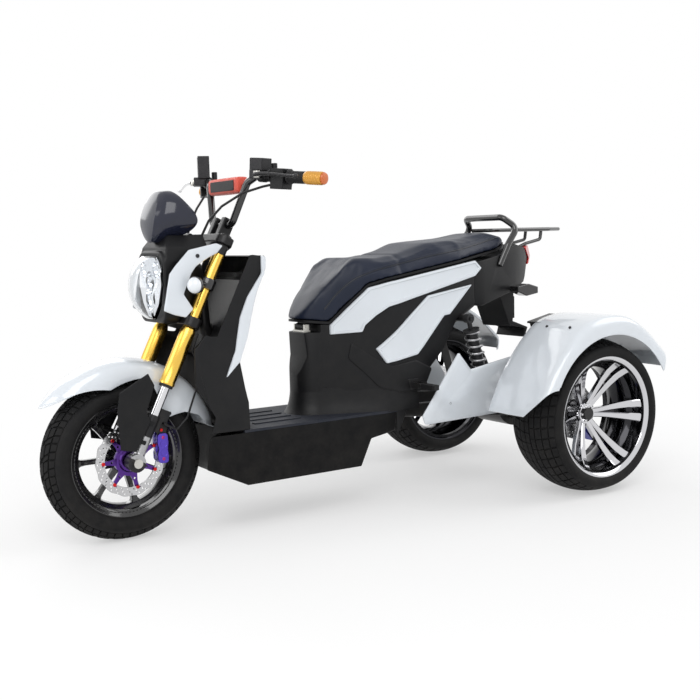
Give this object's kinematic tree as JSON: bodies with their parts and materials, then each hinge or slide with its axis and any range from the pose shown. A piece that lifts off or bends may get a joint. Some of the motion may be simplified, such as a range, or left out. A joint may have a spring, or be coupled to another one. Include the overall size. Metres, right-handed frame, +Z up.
{
  "type": "three-wheeled electric scooter",
  "caption": "Motorized trike with a raked fork, step-through floor, long saddle over a luggage box, and wide fendered rear wheels.",
  "frame": {"origin": "on the ground, below the centre of the outline box", "axes": "+X forward, +Y to the rider's left, +Z up; the long way is X"},
  "size_m": [1.9599, 1.08, 1.1118],
  "materials": {
    "axle_housing": "satin black",
    "bar_pad": "red cover",
    "battery_pack": "dark grey case",
    "brake_masters": "satin black",
    "control_cables": "black sheath",
    "floorboard": "grained black",
    "footpeg_left": "black rubber on steel",
    "footpeg_right": "black rubber on steel",
    "fork_guards": "grained black",
    "fork_tubes": "gold anodised",
    "front_apron": "grained black",
    "front_axle": "zinc plated",
    "front_caliper": "blue anodised",
    "front_disc": "ground steel, anodised carrier",
    "front_fender": "pearl white gloss",
    "front_indicators": "clear",
    "front_rim": "satin black paint",
    "front_tyre": "moulded rubber",
    "grips": "black rubber, amber ends",
    "handlebar": "gloss black",
    "headlamp_housing": "fine grained black",
    "headlamp_lens": "clear",
    "headlamp_reflector": "bright plated",
    "inner_shield": "grained black",
    "lamp_wings": "pearl white gloss",
    "leg_shield_trim": "pearl white gloss",
    "levers": "polished",
    "lower_legs": "satin black casting",
    "lower_strips": "pearl white gloss",
    "luggage_box": "black",
    "main_frame": "black",
    "peg_brackets": "satin black",
    "plate_hanger": "black",
    "rear_calipers": "blue anodised",
    "rear_disc_left": "ground steel",
    "rear_disc_right": "ground steel",
    "rear_fenders": "pearl white gloss",
    "rear_indicators": "black",
    "rear_rack": "gloss black",
    "rear_rim_left": "bright and dark chrome",
    "rear_rim_right": "bright and dark chrome",
    "rear_tyre_left": "moulded rubber",
    "rear_tyre_right": "moulded rubber",
    "seat_base": "black",
    "seat_cushion": "blue-black vinyl",
    "seat_hinge": "zinc plated",
    "shock_bodies": "black",
    "shock_springs": "black coated steel",
    "side_body": "grained black",
    "stanchions": "hard chrome",
    "swingarm": "satin black",
    "swingarm_covers": "pearl white gloss",
    "switchgear": "black",
    "tail_cowl": "grained black",
    "tail_lamp": "red lens",
    "triple_clamps": "satin black",
    "underbody_tub": "black",
    "upper_strips": "pearl white gloss",
    "windscreen": "smoked, nearly black"
  },
  "bodies": {
    "chassis": {"axle_housing": "axle_housing", "battery_pack": "battery_pack", "floorboard": "floorboard", "front_apron": "front_apron", "inner_shield": "inner_shield", "leg_shield_trim": "leg_shield_trim", "lower_strips": "lower_strips", "luggage_box": "luggage_box", "main_frame": "main_frame", "peg_brackets": "peg_brackets", "plate_hanger": "plate_hanger", "rear_calipers": "rear_calipers", "rear_fenders": "rear_fenders", "rear_indicators": "rear_indicators", "rear_rack": "rear_rack", "seat_hinge": "seat_hinge", "shock_bodies": "shock_bodies", "shock_springs": "shock_springs", "side_body": "side_body", "swingarm": "swingarm", "swingarm_covers": "swingarm_covers", "tail_cowl": "tail_cowl", "tail_lamp": "tail_lamp", "underbody_tub": "underbody_tub", "upper_strips": "upper_strips"},
    "steering": {"bar_pad": "bar_pad", "brake_masters": "brake_masters", "control_cables": "control_cables", "fork_guards": "fork_guards", "fork_tubes": "fork_tubes", "front_axle": "front_axle", "front_caliper": "front_caliper", "front_fender": "front_fender", "front_indicators": "front_indicators", "grips": "grips", "handlebar": "handlebar", "headlamp_housing": "headlamp_housing", "headlamp_lens": "headlamp_lens", "headlamp_reflector": "headlamp_reflector", "lamp_wings": "lamp_wings", "levers": "levers", "lower_legs": "lower_legs", "stanchions": "stanchions", "switchgear": "switchgear", "triple_clamps": "triple_clamps", "windscreen": "windscreen"},
    "front_wheel": {"front_tyre": "front_tyre", "front_rim": "front_rim", "front_disc": "front_disc"},
    "rear_wheel_left": {"rear_tyre_left": "rear_tyre_left", "rear_rim_left": "rear_rim_left", "rear_disc_left": "rear_disc_left"},
    "peg_left": {"footpeg_left": "footpeg_left"},
    "rear_wheel_right": {"rear_tyre_right": "rear_tyre_right", "rear_rim_right": "rear_rim_right", "rear_disc_right": "rear_disc_right"},
    "peg_right": {"footpeg_right": "footpeg_right"},
    "seat": {"seat_base": "seat_base", "seat_cushion": "seat_cushion"}
  },
  "joints": [
    {"name": "steer", "type": "hinge", "parent": "chassis", "child": "steering", "pos_m": [0.47122, 0, 0.71529], "axis": [-0.4431, 0, 0.8965], "range_deg": [-36, 36]},
    {"name": "front_wheel_spin", "type": "hinge", "parent": "steering", "child": "front_wheel", "pos_m": [0.7436, 0, 0.2364], "axis": [0, 1, 0], "continuous": true},
    {"name": "rear_left_spin", "type": "hinge", "parent": "chassis", "child": "rear_wheel_left", "pos_m": [-0.6984, 0.411, 0.253], "axis": [0, 1, 0], "continuous": true},
    {"name": "rear_right_spin", "type": "hinge", "parent": "chassis", "child": "rear_wheel_right", "pos_m": [-0.6984, -0.411, 0.253], "axis": [0, 1, 0], "continuous": true},
    {"name": "seat_lid", "type": "hinge", "parent": "chassis", "child": "seat", "pos_m": [0.1346, 0, 0.574], "axis": [0, 1, 0], "range_deg": [0, 55]},
    {"name": "peg_left_fold", "type": "hinge", "parent": "chassis", "child": "peg_left", "pos_m": [-0.1914, 0.19, 0.372], "axis": [1, 0, 0], "range_deg": [0, 80]},
    {"name": "peg_right_fold", "type": "hinge", "parent": "chassis", "child": "peg_right", "pos_m": [-0.1914, -0.19, 0.372], "axis": [-1, 0, 0], "range_deg": [0, 80]}
  ]
}
